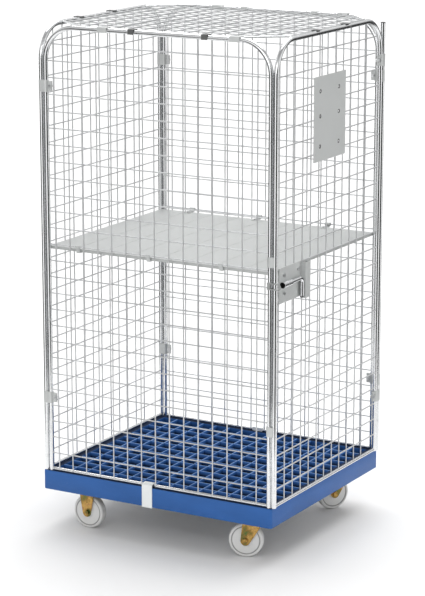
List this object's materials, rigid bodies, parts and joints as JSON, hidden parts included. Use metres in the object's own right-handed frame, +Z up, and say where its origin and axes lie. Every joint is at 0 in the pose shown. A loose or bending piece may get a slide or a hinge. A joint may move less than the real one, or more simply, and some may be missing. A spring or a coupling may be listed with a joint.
{
  "type": "roll cage container",
  "caption": "Lockable mesh-sided roll cage on a blue moulded deck, with an outward-opening mesh door, hinged mesh lid, fold-up shelf and swivel and fixed castors.",
  "frame": {"origin": "floor level under the middle of the overall footprint", "axes": "+Z up; +X towards the door end, which carries the two swivel castors; -Y towards the long wall with the strike hoop"},
  "size_m": [0.8425, 0.728, 1.5916],
  "materials": {
    "blue_plastic": "fine-grained moulded polyethylene, blue",
    "zinc_tube": "bright electroplated zinc on round steel tube and wire",
    "zinc_sheet": "satin electroplated zinc on sheet steel",
    "yellow_zinc": "yellow passivated zinc with a green and pink sheen",
    "fasteners": "zinc plated bolts and nuts",
    "wheel_plastic": "off-white cast polyamide",
    "bush_plastic": "grey plain bearing bush",
    "black_plastic": "black moulded cap"
  },
  "bodies": {
    "chassis": {"base_platform": "blue_plastic", "leg_spigots": "zinc_tube", "front_wall_frame": "zinc_tube", "front_wall_mesh": "zinc_tube", "front_bottom_rail": "zinc_tube", "back_wall_frame": "zinc_tube", "back_wall_mesh": "zinc_tube", "back_bottom_rail": "zinc_tube", "left_wall_frame": "zinc_tube", "left_wall_mesh": "zinc_tube", "left_bottom_rail": "zinc_tube", "corner_bands": "zinc_sheet", "corner_band_bolts": "fasteners", "hinge_post": "zinc_tube", "hinge_post_cap": "black_plastic", "front_hold_clip": "zinc_sheet", "back_hold_clip": "zinc_sheet", "strike_hoop": "zinc_tube", "door_keepers": "zinc_sheet", "shelf_rests": "zinc_sheet", "castor_bolts": "fasteners", "fixed_fork_front": "yellow_zinc", "fixed_fork_back": "yellow_zinc", "fixed_axles": "fasteners", "swivel_plates": "yellow_zinc", "kingpins": "yellow_zinc"},
    "door": {"door_frame": "zinc_tube", "door_mesh": "zinc_tube", "door_bottom_rail": "zinc_tube", "hinge_straps": "zinc_sheet", "hinge_strap_bolts": "fasteners", "label_plate": "zinc_sheet", "latch_plate": "zinc_sheet", "latch_backing_plate": "zinc_sheet", "latch_plate_bolts": "fasteners", "latch_guide_tube": "zinc_tube", "latch_channel": "zinc_sheet"},
    "latch_rod": {"latch_rod": "zinc_tube", "latch_rod_cap": "black_plastic"},
    "lid": {"lid_edge_rod": "zinc_tube", "lid_mesh": "zinc_tube", "lid_front_bands": "zinc_sheet", "lid_hinge_bands": "zinc_sheet", "lid_hooks": "zinc_sheet", "lid_door_rests": "zinc_sheet"},
    "shelf": {"shelf_panel": "zinc_sheet", "shelf_hinge_rings": "zinc_sheet", "shelf_hinge_bolts": "fasteners"},
    "front_swivel": {"swivel_fork_front": "yellow_zinc", "swivel_axle_front": "fasteners"},
    "back_swivel": {"swivel_fork_back": "yellow_zinc", "swivel_axle_back": "fasteners"},
    "wheel_front_left": {"wheel_front_left": "wheel_plastic", "wheel_bush_front_left": "bush_plastic"},
    "wheel_back_left": {"wheel_back_left": "wheel_plastic", "wheel_bush_back_left": "bush_plastic"},
    "wheel_front_right": {"wheel_front_right": "wheel_plastic", "wheel_bush_front_right": "bush_plastic"},
    "wheel_back_right": {"wheel_back_right": "wheel_plastic", "wheel_bush_back_right": "bush_plastic"}
  },
  "joints": [
    {"name": "door_hinge", "type": "hinge", "parent": "chassis", "child": "door", "pos_m": [0.395, 0.349, 0.8], "axis": [0, 0, 1], "range_deg": [0, 175]},
    {"name": "latch_slide", "type": "slide", "parent": "door", "child": "latch_rod", "axis": [0, -1, 0], "range_m": [0, 0.055]},
    {"name": "lid_hinge", "type": "hinge", "parent": "chassis", "child": "lid", "pos_m": [-0.014, 0.349, 1.5825], "axis": [-1, 0, 0], "range_deg": [0, 220]},
    {"name": "shelf_hinge", "type": "hinge", "parent": "chassis", "child": "shelf", "pos_m": [-0.014, 0.349, 0.913], "axis": [-1, 0, 0], "range_deg": [0, 70]},
    {"name": "front_castor_swivel", "type": "hinge", "parent": "chassis", "child": "front_swivel", "pos_m": [0.308, -0.282, 0.11], "axis": [0, 0, 1], "continuous": true},
    {"name": "back_castor_swivel", "type": "hinge", "parent": "chassis", "child": "back_swivel", "pos_m": [0.308, 0.282, 0.11], "axis": [0, 0, 1], "continuous": true},
    {"name": "front_left_wheel_spin", "type": "hinge", "parent": "chassis", "child": "wheel_front_left", "pos_m": [-0.289, -0.298, 0.054], "axis": [0, 1, 0], "continuous": true},
    {"name": "back_left_wheel_spin", "type": "hinge", "parent": "chassis", "child": "wheel_back_left", "pos_m": [-0.289, 0.298, 0.054], "axis": [0, 1, 0], "continuous": true},
    {"name": "front_right_wheel_spin", "type": "hinge", "parent": "front_swivel", "child": "wheel_front_right", "pos_m": [0.27186, -0.29374, 0.054], "axis": [-0.309, 0.9511, 0], "continuous": true},
    {"name": "back_right_wheel_spin", "type": "hinge", "parent": "back_swivel", "child": "wheel_back_right", "pos_m": [0.2873, 0.25013, 0.054], "axis": [-0.8387, 0.5446, 0], "continuous": true}
  ]
}
